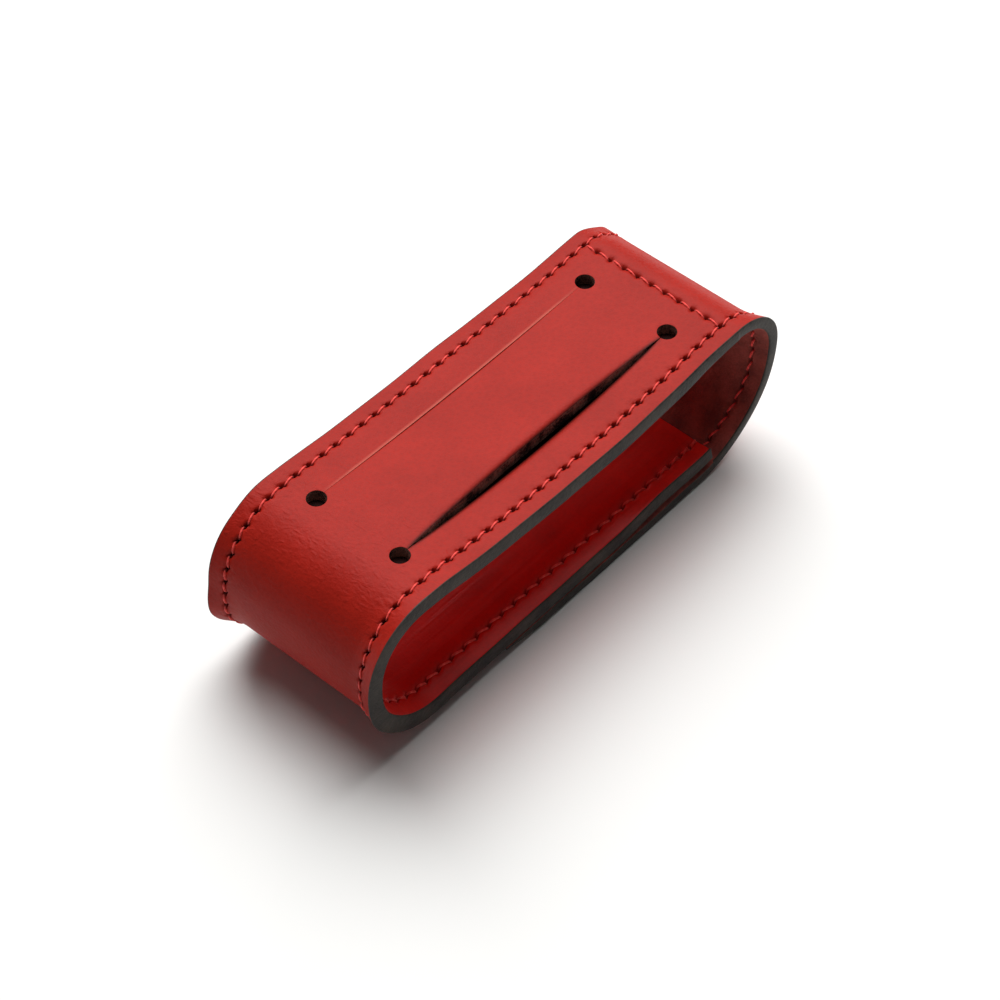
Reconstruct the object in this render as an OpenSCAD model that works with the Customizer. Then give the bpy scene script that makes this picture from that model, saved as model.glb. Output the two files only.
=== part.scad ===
// Open-sided leather belt sheath.
// One long strip of leather is wound into a flattened loop, its tail tucked under the start.
// A thin lining strip backs the top, the heel bend and the bottom.
// Two lockstitched rows run round the rims, and a short row crosses the top near the toe.
// Two long slits between punched holes leave a bridge that a belt passes under.
// X runs along the loop from heel (-) to toe (+), Y across the band, Z up from the resting face.

/* [Overall] */
// Length of the closed loop, heel to toe
loop_length = 120; // [114:1:126]
// Width of the band, rim to rim
band_width = 42; // [38:1:48]

/* [Leather] */
// Thickness of the outer strip
outer_t = 2.6; // [2.4:0.1:2.8]
// Thickness of the lining strip
lining_t = 1.2; // [1.1:0.1:1.4]

/* [Loop section] */
// Radius of the toe bend below its widest point
toe_low_r = 24; // [23:0.5:25]
// Radius of the toe bend above its widest point
toe_high_r = 12.9; // [12.5:0.1:13.5]
// Radius of the heel bend above its widest point
heel_high_r = 15; // [14.5:0.1:15.5]
// Radius of the shallow sag along the top
sag_r = 880; // [800:20:960]
// Downward lean of the top where it leaves the toe, degrees
toe_lean = 2.3; // [2:0.1:2.6]
// Where the tail's tip ends under the bottom, in X
tail_x = -22; // [-24:0.5:-20]
// Length over which the tail is skived thin
skive_length = 10; // [8:0.5:12]
// Thickness left at the tail's tip
tip_t = 0.4; // [0.3:0.1:0.6]
// Angle by which the inner end follows the toe bend, degrees
end_turn = 14; // [13.5:0.5:14.5]

/* [Belt slits] */
// Distance between the punched holes along a slit
slit_length = 76.6; // [72:0.2:78]
// Distance between the two slits
slit_spacing = 20.8; // [18:0.2:22]
// Middle of the slits, in X
slit_mid_x = -1.2; // [-2:0.2:0]
// Diameter of the punched holes
punch_d = 4; // [3.5:0.1:4.5]
// Gap of the near slit
near_gap = 1.6; // [0.6:0.2:2]
// Gap of the far slit
far_gap = 0.4; // [0.3:0.1:0.8]
// Radius of the bridge's upward bow
bridge_r = 600; // [500:20:800]

/* [Stitching] */
// Wanted stitch length
stitch_pitch = 3.6; // [3.5:0.05:3.7]
// Distance of the rim rows from the rim
row_inset = 3.7; // [3.4:0.1:4.2]
// Stitches in the cross row
cross_stitches = 10; // [9:1:11]
// Thread diameter
thread_d = 0.6; // [0.5:0.05:0.6]
// Needle hole diameter
needle_d = 1.3; // [1.3:0.05:1.4]
// Depth of the pressed stitch channel
channel_depth = 0.65; // [0.65:0.05:0.75]
// Width of the pressed stitch channel
channel_width = 0.8; // [0.75:0.05:0.9]

/* [Hidden] */
needle_facets = 16;
punch_facets = 48;
thread_sides = 6;
over = 1;
// Glue line between the tail and the bottom run that lies on it
glue_t = 0.05;
// Largest turn of one flat of a bend, degrees
flat_turn = 3;
toe_x = loop_length / 2 - toe_low_r;
toe_high_x = loop_length / 2 - toe_high_r;
sag_x = toe_high_x - (toe_high_r + sag_r) * sin(toe_lean);
sag_z = toe_low_r + (toe_high_r + sag_r) * cos(toe_lean);
heel_lean = asin((sag_x + loop_length / 2 - heel_high_r) / (sag_r + heel_high_r));
heel_high_x = heel_high_r - loop_length / 2;
heel_z = sag_z - (sag_r + heel_high_r) * cos(heel_lean);
grain_z = outer_t + glue_t;
heel_low_r = heel_z - grain_z;
run_x = heel_low_r - loop_length / 2;
double_t = outer_t + lining_t;
stack_t = grain_z + double_t;
row_y = band_width / 2 - row_inset;
thread_r = thread_d / 2;

// Bends of the outer strip's grain face in order from the tail:
// centre x, centre z, radius, start angle, sweep, side of the centre (1 inside, -1 outside)
TOE_LOW = [toe_x, toe_low_r, toe_low_r, -90, 90, 1];
TOE_HIGH = [toe_high_x, toe_low_r, toe_high_r, 0, 90 + toe_lean, 1];
SAG = [sag_x, sag_z, sag_r, 270 - heel_lean, heel_lean + toe_lean, -1];
HEEL_HIGH = [heel_high_x, heel_z, heel_high_r, 90 - heel_lean, 90 + heel_lean, 1];
HEEL_LOW = [run_x, heel_z, heel_low_r, 180, 90, 1];
BENDS = [TOE_LOW, TOE_HIGH, SAG, HEEL_HIGH, HEEL_LOW];
END_BEND = [toe_x, toe_low_r, toe_low_r - grain_z, -90, end_turn, 1];

// Distances along the row at which the tail, each bend and the bottom run end
function bend_length(b) = b[2] * b[4] * PI / 180;
tail_end = toe_x - tail_x;
toe_low_end = tail_end + bend_length(TOE_LOW);
toe_high_end = toe_low_end + bend_length(TOE_HIGH);
sag_end = toe_high_end + bend_length(SAG);
heel_high_end = sag_end + bend_length(HEEL_HIGH);
heel_low_end = heel_high_end + bend_length(HEEL_LOW);
row_length = heel_low_end + tail_x - run_x;
stitch_count = round(row_length / stitch_pitch);
pitch = row_length / stitch_count;
row_phase = 0.75;
cross_index = ceil(toe_high_end / pitch - row_phase);
end_at = tail_end + toe_low_r * end_turn * PI / 180;

// Stations along a bend from turn a0 to turn a1 (degrees): x, z, inward normal
function bend_rail(b, a0, a1) =
  let (steps = ceil((a1 - a0) / flat_turn) + (b[5] < 0 ? sag_flats : 0))
  [for (i = [0:steps]) on_bend(b, (a0 + (a1 - a0) * i / steps) * b[2] * PI / 180)];

function whole(b) = bend_rail(b, 0, b[4]);
sag_flats = 12;
RUN = [[run_x, grain_z, 0, 1], [toe_x, grain_z, 0, 1]];
LINED = concat(whole(SAG), whole(HEEL_HIGH), whole(HEEL_LOW), RUN, whole(END_BEND));
BARE_TOE = concat(bend_rail(TOE_LOW, end_turn + 0.5, 90), whole(TOE_HIGH));
SPIRAL = concat(whole(TOE_LOW), whole(TOE_HIGH), LINED);

// Face of a rail at a depth below the grain, and the outline between two depths
function face_at(rail, d) = [for (p = rail) [p[0] + p[2] * d, p[1] + p[3] * d]];
function backwards(l) = [for (i = [len(l) - 1:-1:0]) l[i]];
function outline(rail, d0, d1) = concat(face_at(rail, d0), backwards(face_at(rail, d1)));

// Height of the tail's underside: rises to the tip over the skived length
function tail_z(x) = (outer_t - tip_t) * max(0, 1 - (x - tail_x) / skive_length);

// Point on a bend's grain face at a distance from its start, with its inward normal
function on_bend(b, d) =
  let (turn = d / b[2] * 180 / PI, a = b[5] > 0 ? b[3] + turn : b[3] + b[4] - turn)
  [b[0] + b[2] * cos(a), b[1] + b[2] * sin(a), -b[5] * cos(a), -b[5] * sin(a)];

// Station on the outer face at distance s: x, z, inward normal x and z, leather thickness there
function station(s) =
  s < tail_end ? [tail_x + s, tail_z(tail_x + s), 0, 1, stack_t - tail_z(tail_x + s)]
  : s < toe_low_end ? concat(on_bend(TOE_LOW, s - tail_end), s < end_at ? stack_t : outer_t)
  : s < toe_high_end ? concat(on_bend(TOE_HIGH, s - toe_low_end), outer_t)
  : s < sag_end ? concat(on_bend(SAG, s - toe_high_end), double_t)
  : s < heel_high_end ? concat(on_bend(HEEL_HIGH, s - sag_end), double_t)
  : s < heel_low_end ? concat(on_bend(HEEL_LOW, s - heel_high_end), double_t)
  : [run_x + s - heel_low_end, grain_z, 0, 1, double_t];

function hole_at(k) = (k + row_phase) * pitch;
HOLES = [for (k = [0:stitch_count - 1]) station(hole_at(k))];
CROSS = HOLES[cross_index];
cross_pitch = 2 * row_y / cross_stitches;

// Height of the sagging top face at x
function top_z(x) = sag_z - sqrt(sag_r * sag_r - (x - sag_x) * (x - sag_x));
slit_x0 = slit_mid_x - slit_length / 2;
slit_x1 = slit_mid_x + slit_length / 2;
chord_tilt = atan2(top_z(slit_x1) - top_z(slit_x0), slit_length);
half_chord = slit_length / cos(chord_tilt) / 2;
bow_angle = asin(half_chord / bridge_r);
bow_depth = bridge_r * cos(bow_angle);
bow_x = slit_mid_x + bow_depth * sin(chord_tilt);
bow_z = (top_z(slit_x0) + top_z(slit_x1)) / 2 - bow_depth * cos(chord_tilt);

// Solid of width w about y with the given outline in X and Z
module band(points, w, y = 0) {
  translate([0, y + w / 2, 0])
    rotate([90, 0, 0])
      linear_extrude(w)
        polygon(points);
}

// Pierced needle holes of both rim rows and of the cross row
module needle_holes() {
  for (h = HOLES, y = [-row_y, row_y])
    pierce(h, y);
  for (j = [1:cross_stitches - 1])
    pierce(CROSS, j * cross_pitch - row_y);
}

module pierce(h, y) {
  translate([h[0], y, h[1]])
    rotate([0, atan2(h[2], h[3]), 0])
      translate([0, 0, -over])
        cylinder(h = h[4] + 2 * over, d = needle_d, $fn = needle_facets);
}

// Outline of the stitch channel along the tail's underside and its skived tip
function tail_channel() =
  [[tail_x - over, outer_t - tip_t + channel_depth], [tail_x, outer_t - tip_t + channel_depth],
    [tail_x + skive_length, channel_depth], [toe_x, channel_depth], [toe_x, -over],
    [tail_x - over, -over]];

// Stitch channels pressed into the outside of the outer strip
module outer_channels() {
  wound = concat(whole(TOE_LOW), whole(TOE_HIGH), whole(SAG), whole(HEEL_HIGH), whole(HEEL_LOW),
    [[tail_x + 2 * thread_d, grain_z, 0, 1]]);
  for (y = [-row_y, row_y]) {
    band(outline(wound, -over / 2, channel_depth), channel_width, y);
    band(tail_channel(), channel_width, y);
  }
  translate([CROSS[0] - channel_width / 2, -row_y, CROSS[1] - channel_depth])
    cube([channel_width, 2 * row_y, over + channel_depth]);
}

// Stitch channels pressed into the flesh side of the bare toe bend
module toe_channels() {
  for (y = [-row_y, row_y])
    band(outline(BARE_TOE, outer_t - channel_depth, outer_t + over / 2), channel_width, y);
}

// Notches that let the inside thread step over the ends of the lining
module end_notches() {
  notch = 2 * thread_d;
  turn_back = notch / toe_low_r * 180 / PI;
  end = concat(bend_rail(END_BEND, end_turn - turn_back, end_turn), [on_bend(END_BEND,
    (end_turn + 1) * END_BEND[2] * PI / 180)]);
  for (y = [-row_y, row_y]) {
    band(outline(end, -glue_t / 2, double_t + over), channel_width, y);
    translate([toe_high_x - notch - over / 2, y - channel_width / 2, CROSS[1] - double_t - over])
      cube([notch + over, channel_width, lining_t + over]);
  }
}

// Bridge between the slits, bowed up over the belt
module bridge() {
  w = slit_spacing - far_gap / 2 - near_gap / 2;
  tuck = 0.05;
  translate([bow_x, (near_gap - far_gap) / 4, bow_z])
    rotate([90, 0, 0])
      rotate_extrude(angle = 2 * (bow_angle + tuck), start = 90 + chord_tilt - bow_angle - tuck)
        translate([bridge_r - outer_t, -w / 2])
          square([outer_t, w]);
}

module slit_window() {
  y0 = -slit_spacing / 2 - near_gap / 2;
  y1 = slit_spacing / 2 + far_gap / 2;
  translate([slit_x0, y0, top_z(sag_x) - double_t])
    cube([slit_length, y1 - y0, 2 * double_t]);
}

module punched_holes() {
  for (x = [slit_x0, slit_x1], y = [-slit_spacing / 2, slit_spacing / 2])
    translate([x, y, top_z(x) - outer_t - over / 2])
      cylinder(h = outer_t + over + over / 2, d = punch_d, $fn = punch_facets);
}

// Section of the outer strip: the skived tail, then once round and back over itself
function strip_outline() = concat(
  [[tail_x, outer_t - tip_t], [tail_x + skive_length, 0]], outline(SPIRAL, 0, outer_t),
  [[tail_x, outer_t]]);

module outer_strip() {
  color([0.70, 0.20, 0.18])
    difference() {
      union() {
        difference() {
          band(strip_outline(), band_width);
          slit_window();
        }
        bridge();
      }
      punched_holes();
      outer_channels();
      toe_channels();
      end_notches();
      needle_holes();
    }
}

module lining_strip() {
  color([0.45, 0.07, 0.07])
    difference() {
      band(outline(LINED, outer_t, double_t), band_width);
      lining_channels();
      end_notches();
      needle_holes();
    }
}

// Stitch channels pressed into the grain of the lining
module lining_channels() {
  for (y = [-row_y, row_y])
    band(outline(LINED, double_t - channel_depth, double_t + over), channel_width, y);
  translate([CROSS[0] - channel_width / 2, -row_y, CROSS[1] - double_t - over])
    cube([channel_width, 2 * row_y, over + channel_depth]);
}

// One ring of a thread: centre, then the two axes of its ring plane
function ring(c, a, b) =
  [for (i = [0:thread_sides - 1])
    let (t = (i + 0.5) * 360 / thread_sides)
    c + a * cos(t) * thread_r + b * sin(t) * thread_r];

// Rings of one stitch of a rim row: a dip in the needle hole and the two ends of the visible span
// side is 0 for the needle thread outside and 1 for the bobbin thread inside
function stitch_rings(h, y, side) =
  let (n = (side > 0 ? -1 : 1) * [h[2], 0, h[3]], t = [h[3], 0, -h[2]],
    face = [h[0], y, h[1]] + (side > 0 ? h[4] : 0) * [h[2], 0, h[3]],
    low = h[4] / 2 - thread_d * 0.58, c = thread_r * 1.1, yy = [0, 1, 0])
  [ring(face + n * thread_r - t * c, n - t, yy), ring(face + n * low, n, yy),
    ring(face + n * thread_r + t * c, n + t, yy)];

// Skin of a tube through the given rings, closed on itself or capped
module tube(rings, closed) {
  m = thread_sides;
  count = len(rings);
  spans = closed ? count : count - 1;
  points = [for (r = rings, p = r) p];
  sides = [for (i = [0:spans - 1], j = [0:m - 1])
    let (k = (i + 1) % count, l = (j + 1) % m)
    [i * m + j, i * m + l, k * m + l, k * m + j]];
  halves = [for (f = sides, e = [0, 1]) e > 0 ? [f[0], f[2], f[3]] : [f[0], f[1], f[2]]];
  caps = closed ? [] : [[for (j = [m - 1:-1:0]) j], [for (j = [0:m - 1]) (count - 1) * m + j]];
  polyhedron(points, concat(halves, caps), convexity = 10);
}

module rim_thread(y, side) {
  color([0.80, 0.27, 0.27])
    tube([for (h = HOLES) each stitch_rings(h, y, side)], true);
}

// Rings of one stitch of the cross row, which runs along Y through a single station
function cross_rings(y, side) =
  let (h = CROSS, n = (side > 0 ? -1 : 1) * [h[2], 0, h[3]], x = [1, 0, 0], t = [0, 1, 0],
    face = [h[0], y, h[1]] + (side > 0 ? h[4] : 0) * [h[2], 0, h[3]],
    low = h[4] / 2 - thread_d * 0.58, c = thread_r * 1.1)
  [ring(face + n * thread_r - t * c, n - t, -x), ring(face + n * low, n, -x),
    ring(face + n * thread_r + t * c, n + t, -x)];

// Plain ring of the cross row at the point where it stops short of a rim row
function cross_end(y, side) =
  let (h = CROSS, n = (side > 0 ? -1 : 1) * [h[2], 0, h[3]],
    face = [h[0], y, h[1]] + (side > 0 ? h[4] : 0) * [h[2], 0, h[3]])
  ring(face + n * thread_r, n, [-1, 0, 0]);

module cross_thread(side) {
  stop = row_y - needle_d * 0.6;
  color([0.80, 0.27, 0.27])
    tube(concat([cross_end(-stop, side)],
      [for (j = [1:cross_stitches - 1]) each cross_rings(j * cross_pitch - row_y, side)],
      [cross_end(stop, side)]), false);
}

module near_row_needle_thread() {
  rim_thread(-row_y, 0);
}

module near_row_bobbin_thread() {
  rim_thread(-row_y, 1);
}

module far_row_needle_thread() {
  rim_thread(row_y, 0);
}

module far_row_bobbin_thread() {
  rim_thread(row_y, 1);
}

module cross_row_needle_thread() {
  cross_thread(0);
}

module cross_row_bobbin_thread() {
  cross_thread(1);
}

outer_strip();
lining_strip();
near_row_needle_thread();
near_row_bobbin_thread();
far_row_needle_thread();
far_row_bobbin_thread();
cross_row_needle_thread();
cross_row_bobbin_thread();
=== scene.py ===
"""Open-sided leather belt sheath, cut, punched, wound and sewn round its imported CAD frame.

The leather is cut flat in millimetres as a maker cuts it, grain side down on the bench: X runs
along the strip from the tail, Y across it and Z up from the grain face. It is then wound into
the loop in one step, with the sag, lips and open slit that worn leather takes.
"""

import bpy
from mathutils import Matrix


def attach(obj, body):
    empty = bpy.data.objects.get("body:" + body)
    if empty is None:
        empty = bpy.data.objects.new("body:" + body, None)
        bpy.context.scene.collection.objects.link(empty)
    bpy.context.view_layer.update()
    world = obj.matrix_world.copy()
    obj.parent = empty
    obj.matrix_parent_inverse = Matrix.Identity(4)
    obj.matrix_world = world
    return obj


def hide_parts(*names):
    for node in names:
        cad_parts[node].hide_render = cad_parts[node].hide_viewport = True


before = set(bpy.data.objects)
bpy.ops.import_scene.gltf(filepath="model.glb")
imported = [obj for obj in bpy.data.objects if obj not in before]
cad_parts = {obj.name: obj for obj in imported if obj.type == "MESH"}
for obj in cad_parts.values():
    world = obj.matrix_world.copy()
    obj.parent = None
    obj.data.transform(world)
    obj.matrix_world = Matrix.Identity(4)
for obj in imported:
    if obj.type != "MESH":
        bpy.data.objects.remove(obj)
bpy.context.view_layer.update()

import logging
import math
from dataclasses import dataclass, field
from enum import Enum, IntEnum

import bpy
import numpy as np
from mathutils import Matrix, Vector

log = logging.getLogger("belt_sheath")
Array = np.ndarray
Piece = bpy.types.Object
MM = 0.001
UV_SPAN = 100.0  # millimetres of leather in one unit of the UV map
SLACK = 1e-3  # millimetres allowed when a point is matched to a face or a rim


class Layer(Enum):
    """The two strips that are wound together."""

    OUTER = "outer"
    LINING = "lining"


class Side(Enum):
    """Which face of the loop a thread shows on."""

    OUTSIDE = -1
    INSIDE = 1


class Slot(IntEnum):
    """Order of the finishes on a strip; only the outer strip has raw cuts."""

    FLESH = 0
    GRAIN = 1
    RIM = 2
    RAW = 3


# ---- shape of the wound loop


def ease(value: Array, start: float, end: float) -> Array:
    """Rises smoothly from 0 where value is start to 1 where it is end."""
    t = np.clip((value - start) / (end - start), 0, 1)
    return t * t * (3 - 2 * t)


def swell(value: Array, start: float, full: float, fade: float, end: float) -> Array:
    """Rises smoothly from 0 at start to 1 at full, and falls from 1 at fade to 0 at end."""
    return ease(value, start, full) * (1 - ease(value, fade, end))


@dataclass(frozen=True)
class Bend:
    """One arc of the outer strip's grain face, in millimetres and degrees."""

    x: float
    z: float
    radius: float
    start: float
    sweep: float
    side: int = 1  # 1 where the leather lies inside the arc, -1 outside

    @property
    def length(self) -> float:
        """Length of the arc."""
        return self.radius * math.radians(self.sweep)

    def at(self, along: Array) -> Array:
        """Stations on the arc.

        Args:
            along: distances from the arc's start.

        Returns:
            Rows of x, z and the inward normal's x and z.
        """
        turn = np.degrees(along / self.radius)
        ends = self.start + turn if self.side > 0 else self.start + self.sweep - turn
        c, s = np.cos(np.radians(ends)), np.sin(np.radians(ends))
        return np.stack(
            [self.x + self.radius * c, self.z + self.radius * s, -self.side * c, -self.side * s], 1
        )


@dataclass
class Loop:
    """The wound loop: its section, its stitch spacing and how the leather has settled."""

    length: float = 120.0
    width: float = 42.0
    outer_t: float = 2.6
    lining_t: float = 1.2
    glue_t: float = 0.05
    toe_low_r: float = 24.0
    toe_high_r: float = 12.9
    heel_high_r: float = 15.0
    sag_r: float = 880.0
    toe_lean: float = 2.3
    tail_x: float = -22.0
    skive: float = 10.0
    tip_t: float = 0.4
    end_turn: float = 14.0
    slit_length: float = 76.6
    slit_spacing: float = 20.8
    slit_x: float = -1.2
    wanted_pitch: float = 3.6
    row_inset: float = 3.7
    phase: float = 0.75
    cross_stitches: int = 10
    heel_saddle: float = 2.2
    bottom_saddle: float = 1.8
    toe_saddle: float = 1.6
    mouth: float = 1.5
    heel_hang: float = 0.8
    hang_more: float = 0.5  # added at the middle of the width, and again at the far lip
    far_drop: float = 1.3
    toe_droop: float = 0.9
    waves: tuple = (0.12, 0.06)
    lip_y: float = 14.6  # where the lips begin to stand, from the middle of the width
    mouth_y: float = 16.8  # the same for the lips of the mouth
    lining_skive: float = 18.0
    bends: list[Bend] = field(default_factory=list)
    marks: list[float] = field(default_factory=list)

    # distances along the strip at which a change begins, is whole, fades and has gone
    MID_TOP = 150
    HEEL_DRAW = (198, 226)
    HEEL_EASE = 252
    HEEL_HANG = (230, 245, 250, 268)
    FAR_DROP = (205, 216, 232, 242)
    TOE_DRAW = (82, 98, 107, 117)
    TOE_DROOP = (104, 114, 124, 165)

    def __post_init__(self) -> None:
        """Works out the bends and the distances at which each stretch ends."""
        lean = math.radians(self.toe_lean)
        toe_x = self.length / 2 - self.toe_low_r
        high_x = self.length / 2 - self.toe_high_r
        sag_x = high_x - (self.toe_high_r + self.sag_r) * math.sin(lean)
        sag_z = self.toe_low_r + (self.toe_high_r + self.sag_r) * math.cos(lean)
        heel_x = self.heel_high_r - self.length / 2
        heel_lean = math.degrees(math.asin((sag_x - heel_x) / (self.sag_r + self.heel_high_r)))
        heel_z = sag_z - (self.sag_r + self.heel_high_r) * math.cos(math.radians(heel_lean))
        self.grain_z = self.outer_t + self.glue_t
        low_r = heel_z - self.grain_z
        self.run_x = low_r - self.length / 2
        turn = heel_lean + self.toe_lean
        self.bends = [
            Bend(toe_x, self.toe_low_r, self.toe_low_r, -90, 90),
            Bend(high_x, self.toe_low_r, self.toe_high_r, 0, 90 + self.toe_lean),
            Bend(sag_x, sag_z, self.sag_r, 270 - heel_lean, turn, -1),
            Bend(heel_x, heel_z, self.heel_high_r, 90 - heel_lean, 90 + heel_lean),
            Bend(self.run_x, heel_z, low_r, 180, 90),
        ]
        end = Bend(toe_x, self.toe_low_r, self.toe_low_r - self.grain_z, -90, self.end_turn + 20)
        self.end_bend = end
        marks = [toe_x - self.tail_x]
        for bend in self.bends:
            marks.append(marks[-1] + bend.length)
        marks.append(marks[-1] + toe_x - self.run_x)
        self.marks = marks
        self.tail_end, _, self.top_start, self.top_end, _, self.run_start, self.run_end = marks
        self.once_round = self.run_start + self.tail_x - self.run_x
        self.strip_end = self.run_end + end.radius * math.radians(self.end_turn)
        self.covered_to = self.tail_end + self.toe_low_r * math.radians(self.end_turn)
        self.stitches = round(self.once_round / self.wanted_pitch)
        self.pitch = self.once_round / self.stitches
        self.row_y = self.width / 2 - self.row_inset
        self.cross_pitch = 2 * self.row_y / self.cross_stitches
        self.cross_s = self.hole(math.ceil(self.top_start / self.pitch - self.phase))

    def hole(self, k: float) -> float:
        """Distance from the tail's tip to needle hole k."""
        return (k + self.phase) * self.pitch

    def lining_at(self, s: Array) -> Array:
        """Thickness of the lining, which is pared thin where it begins."""
        start = self.top_start
        return self.lining_t * (0.07 + 0.93 * ease(s, start, start + self.lining_skive))

    def station(self, s: Array) -> Array:
        """Stations on the outer strip's grain face.

        Args:
            s: distances along the strip from the tail's tip.

        Returns:
            Rows of x, z and the inward normal's x and z.
        """
        rail = np.stack([self.tail_x + s, 0 * s, 0 * s, 1 + 0 * s], 1)
        for bend, start in zip(self.bends, self.marks):
            here = s > start
            rail[here] = bend.at(s[here] - start)
        here = s > self.run_start
        flat = np.stack([self.run_x + s - self.run_start, 0 * s, 0 * s, 1 + 0 * s], 1)
        flat[:, 1] = self.grain_z
        rail[here] = flat[here]
        here = s > self.run_end
        rail[here] = self.end_bend.at(s[here] - self.run_end)
        return rail

    def strip_at(self, x: float) -> float:
        """Distance along the strip at which its sagging top passes x."""
        s = np.linspace(self.top_start, self.top_end, 4001)
        return float(np.interp(-x, -self.station(s)[:, 0], s))

    def slit_ends(self) -> tuple[float, float]:
        """Distances along the strip at which the slits begin and end."""
        half = self.slit_length / 2
        return self.strip_at(self.slit_x + half), self.strip_at(self.slit_x - half)

    def settle(self, s: Array, y: Array, layer: Layer) -> tuple[Array, Array]:
        """How far the leather has moved from the plain section.

        Args:
            s: distances along the strip.
            y: places across it.
            layer: the strip that is asked about.

        Returns:
            The inward movement and the movement across, in millimetres.
        """
        past, run = s > self.run_end, s > self.once_round
        turned = self.tail_end + (s - self.run_end) * self.toe_low_r / self.end_bend.radius
        base = np.where(past, turned, np.where(run, s - self.once_round, s))
        rim = np.clip((np.abs(y) - self.lip_y) / (self.width / 2 - self.lip_y), 0, 1)
        near_rim, far_rim = np.where(y < 0, rim, 0), np.where(y > 0, rim, 0)
        # between its lips the bottom stands off the table and the heel is drawn in
        fades = 1 - ease(base, self.tail_end - 4, self.tail_end + 30)
        bottom = self.bottom_saddle * np.where(run & ~past, 1.0, fades)
        change = self.bottom_saddle - self.heel_saddle
        heel = self.heel_saddle * ease(s, *self.HEEL_DRAW)
        heel = heel + change * ease(s, self.HEEL_EASE, self.once_round)
        sink = np.where((s > self.MID_TOP) & ~past, heel, bottom) * (1 - rim**1.5)
        # the heel hangs low in front of its bend, most of all at the far lip
        hang = self.heel_hang + self.hang_more * (1 - rim + far_rim)
        sink -= swell(s, *self.HEEL_HANG) * hang
        sink += self.far_drop * far_rim**1.3 * swell(s, *self.FAR_DROP)
        # the toe is drawn in behind its near lip, and its far corner droops
        sink += self.toe_saddle * swell(s, *self.TOE_DRAW) * (1 - near_rim**1.3)
        sink += self.toe_droop * far_rim * swell(s, *self.TOE_DROOP)
        # the run's lips stand off the tail's towards the toe, as a mouth between the two rims
        x = self.run_x + s - self.run_start
        mouth = self.mouth * (0.25 * ease(x, -16, 6) + 0.75 * ease(x, 10, 26))
        lip = np.clip((np.abs(y) - self.mouth_y) / (self.width / 2 - self.mouth_y), 0, 1)
        sink += np.where(s > self.run_start, mouth, 0) * lip**1.2
        long, short = self.waves
        wave = long * np.sin(s / 7.3 + 1.1 + np.sign(y)) + short * np.sin(s / 3.1 + y / 6)
        down, across = self.sag(s, y, layer)
        return sink + rim * wave + down, across

    def sag(self, s: Array, y: Array, layer: Layer) -> tuple[Array, Array]:
        """How the top sags between the slits' ends, the near border most, as the bridge bows up.

        Args:
            s: distances along the strip.
            y: places across it.
            layer: the strip that is asked about.

        Returns:
            The inward movement and the movement across, in millimetres.
        """
        # the near border's edge turns in, the far border rises from its slit, and the bridge's
        # near edge rolls down
        half = self.slit_spacing / 2
        on_top = (s > self.top_start) & (s < self.top_end)
        t = (self.station(s)[:, 0] - self.slit_x) / (self.slit_length / 2 - 1.0)
        share = np.where(on_top, np.clip(1 - t * t, 0, 1), 0)
        far_rim = np.clip((y - self.lip_y) / (self.width / 2 - self.lip_y), 0, 1)
        near = np.clip((half - y) / (2 * half), 0, 1)
        rises = np.clip((y - half) / 6, 0, 1)
        down = 0.10 + near * 0.95 - 0.35 * rises + 0.5 * far_rim
        across = -0.3 * np.clip((-y - half + 2.2) / 2.2, 0, 1)
        if layer is Layer.OUTER:
            bridge = np.abs(y) < half
            roll = np.clip(1 - np.abs(y + half) / 1.6, 0, 1) ** 2
            down = np.where(bridge, 0.30 - 1.75 * near, down) + np.where(bridge, 0.6, 0.3) * roll
            across = np.where(bridge, 0.75 * near**2, across)
        return down * share, across * share

    def wound(self, flat: Array, layer: Layer) -> Array:
        """Winds flat leather into the loop.

        Args:
            flat: rows of distance along, place across and depth below the grain face.
            layer: the strip that the points belong to.

        Returns:
            Rows of x, y and z in metres.
        """
        s, y, depth = flat[:, 0], flat[:, 1], flat[:, 2]
        rail = self.station(s)
        sink, across = self.settle(s, y, layer)
        taken = (self.outer_t - self.tip_t) * np.clip(1 - s / self.skive, 0, 1)
        depth = depth + taken * np.clip(1 - depth / self.outer_t, 0, 1) + sink
        points = np.stack([rail[:, 0] + rail[:, 2] * depth, y + across,
                           rail[:, 1] + rail[:, 3] * depth], 1)
        return points * MM


# ---- finishes


def linear(code: str) -> tuple[float, float, float, float]:
    """Turns an sRGB hex colour into the linear one that a shader takes.

    Args:
        code: six hex digits after a hash.

    Returns:
        Linear red, green, blue and 1 for alpha.
    """
    parts = [int(code[i : i + 2], 16) / 255 for i in (1, 3, 5)]
    low = [p / 12.92 if p <= 0.04045 else ((p + 0.055) / 1.055) ** 2.4 for p in parts]
    return (low[0], low[1], low[2], 1.0)


def add_node(
    tree: bpy.types.NodeTree, kind: str, sockets: dict, **settings: object
) -> bpy.types.Node:
    """Adds a shader node with its settings, values and links.

    Args:
        tree: the material's node tree.
        kind: Blender's name for the node, without ShaderNode before it.
        sockets: values, or the outputs to link, by input name or number; a node stands for its
            first output.
        settings: the node's own options.

    Returns:
        The new node.
    """
    node = tree.nodes.new("ShaderNode" + kind)
    for name, value in settings.items():
        setattr(node, name, value)
    for name, value in sockets.items():
        if isinstance(value, bpy.types.Node):
            value = value.outputs[0]
        if isinstance(value, bpy.types.NodeSocket):
            tree.links.new(value, node.inputs[name])
        else:
            node.inputs[name].default_value = value
    return node


def finished(finish: "GrainLeather | RoughLeather | SewingThread") -> bpy.types.Material:
    """The material of a finish, made the first time that it is asked for."""
    return bpy.data.materials.get(finish.name) or finish.material()


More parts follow.
